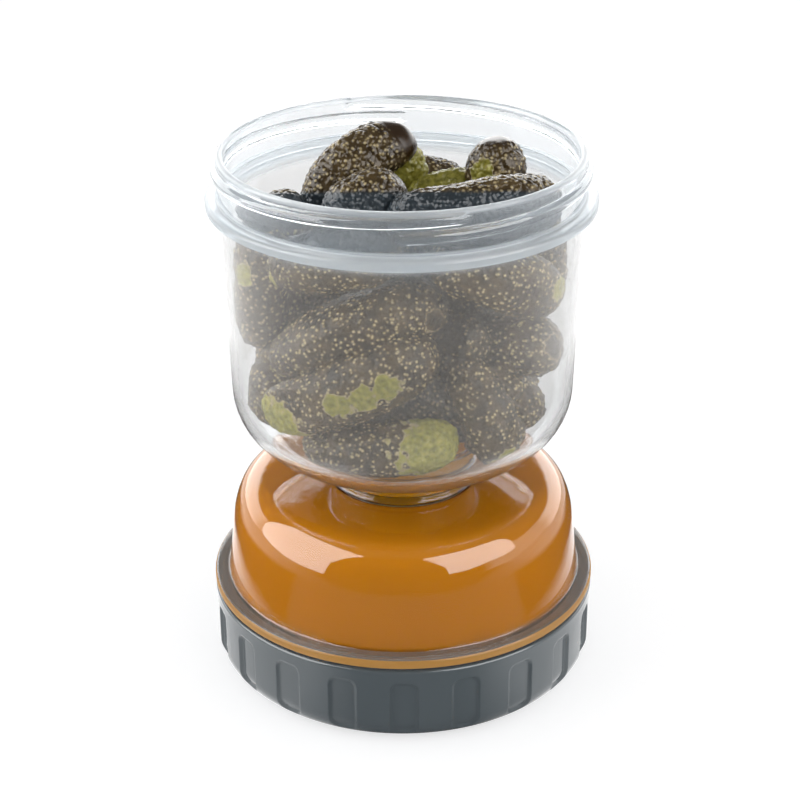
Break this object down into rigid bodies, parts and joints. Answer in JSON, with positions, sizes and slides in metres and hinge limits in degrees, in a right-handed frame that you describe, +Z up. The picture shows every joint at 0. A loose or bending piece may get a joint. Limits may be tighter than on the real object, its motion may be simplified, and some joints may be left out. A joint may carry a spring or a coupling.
{
  "type": "hourglass pickle keeper",
  "caption": "Clear hourglass food keeper: open screw-mouth chamber for pickles above a domed brine chamber, joined at a waist with a strainer, on a ribbed grey screw lid.",
  "frame": {"origin": "centre of the base lid's flat underside", "axes": "+Z up along the keeper's axis; -Y towards the viewer, where the upper thread starts"},
  "size_m": [0.12, 0.12, 0.1665],
  "materials": {
    "grey_lid": "satin",
    "silicone": "matte",
    "clear_body": "gloss",
    "clear_strainer": "gloss"
  },
  "bodies": {
    "foot": {"base_lid": "grey_lid", "base_lid_floor": "grey_lid"},
    "lid_seal": {"lid_gasket": "silicone"},
    "brine_half": {"lower_chamber": "clear_body", "lower_chamber_crown": "clear_body", "lower_chamber_socket": "clear_body"},
    "waist_seal": {"neck_gasket": "silicone", "strainer": "clear_strainer"},
    "food_half": {"upper_chamber": "clear_body", "upper_chamber_bowl": "clear_body"}
  },
  "joints": [
    {"name": "lid_turn", "type": "hinge", "parent": "foot", "child": "lid_seal", "pos_m": [0, 0, 0.0054], "axis": [0, 0, 1], "range_deg": [0, 165]},
    {"name": "lid_lift", "type": "slide", "parent": "lid_seal", "child": "brine_half", "axis": [0, 0, 1], "range_m": [0, 0.00413]},
    {"name": "waist_turn", "type": "hinge", "parent": "brine_half", "child": "waist_seal", "pos_m": [0, 0, 0.0547], "axis": [0, 0, 1], "range_deg": [0, 470]},
    {"name": "waist_lift", "type": "slide", "parent": "waist_seal", "child": "food_half", "axis": [0, 0, 1], "range_m": [0, 0.00523]}
  ],
  "couplings": [
    {"joint": "lid_lift", "follows": "lid_turn", "m_per_rad": 0.0014324},
    {"joint": "waist_lift", "follows": "waist_turn", "m_per_rad": 0.00063662}
  ]
}
